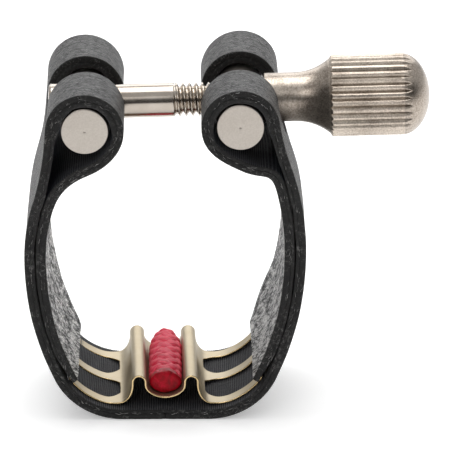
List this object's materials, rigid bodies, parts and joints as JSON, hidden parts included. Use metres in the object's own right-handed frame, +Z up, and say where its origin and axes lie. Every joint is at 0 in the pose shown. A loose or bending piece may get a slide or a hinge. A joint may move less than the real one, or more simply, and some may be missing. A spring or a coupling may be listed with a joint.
{
  "type": "saxophone ligature",
  "caption": "Soft leather ligature for a saxophone mouthpiece, closed by a thumb nut on a stud across the top, with a gilt reed plate and a red cord inside.",
  "frame": {"origin": "middle of the flat underside of the leather strip, under the clamp stud's axis plane", "axes": "+X towards the thumb knob along the clamp stud, +Y along the mouthpiece from its tip side to the reed's butt side, +Z up from the underside to the clamp"},
  "size_m": [0.0492, 0.0241, 0.0435],
  "materials": {
    "leather": "pebble grained, semi-matt",
    "textile": "fine ribbed weave",
    "adhesive": "dark contact adhesive",
    "satin_nickel": "satin nickel plate",
    "bright_nickel": "polished nickel plate",
    "knob_nickel": "satin nickel plate, knurled",
    "gilt": "pale gilt sheet",
    "braid": "herringbone braid",
    "core_yarn": "parallel yarns",
    "fused_cord": "melted and smooth"
  },
  "bodies": {
    "base": {"band_bottom": "leather", "lining_bottom": "textile", "flap_end_bond": "adhesive", "reed_plate": "gilt", "cord_sheath": "braid", "cord_core": "core_yarn", "cord_front_tip": "fused_cord", "cord_back_tip": "fused_cord", "cord_bond": "adhesive"},
    "left_arm": {"band_left": "leather", "lining_left": "textile", "bond_left": "adhesive"},
    "right_arm": {"band_right": "leather", "lining_right": "textile", "bond_right": "adhesive"},
    "trunnion": {"left_barrel": "satin_nickel", "tension_stud": "bright_nickel"},
    "slider": {"right_barrel": "satin_nickel"},
    "knob": {"thumb_knob": "knob_nickel"}
  },
  "joints": [
    {"name": "left_flex", "type": "hinge", "parent": "base", "child": "left_arm", "pos_m": [-0.01354, 0, 0.0087], "axis": [0, 1, 0], "range_deg": [-1.68, 4.04]},
    {"name": "right_flex", "type": "hinge", "parent": "base", "child": "right_arm", "pos_m": [0.01363, 0, 0.0089], "axis": [0, -1, 0], "range_deg": [-1.68, 4.04]},
    {"name": "left_swivel", "type": "hinge", "parent": "left_arm", "child": "trunnion", "pos_m": [-0.00947, 0, 0.03759], "axis": [0, -1, 0], "range_deg": [-1.79, 4.31]},
    {"name": "clamp_slide", "type": "slide", "parent": "trunnion", "child": "slider", "axis": [-0.9997, 0, -0.0249], "range_m": [-0.00159, 0.00397]},
    {"name": "knob_turn", "type": "hinge", "parent": "slider", "child": "knob", "pos_m": [0.00914, 0, 0.03806], "axis": [-0.9997, 0, -0.0249], "range_deg": [-720.5, 1800.5]}
  ],
  "couplings": [
    {"joint": "left_flex", "follows": "clamp_slide", "rad_per_m": 17.331},
    {"joint": "right_flex", "follows": "clamp_slide", "rad_per_m": 17.331},
    {"joint": "left_swivel", "follows": "clamp_slide", "rad_per_m": 18.52},
    {"joint": "knob_turn", "follows": "clamp_slide", "rad_per_m": 7913.3}
  ]
}
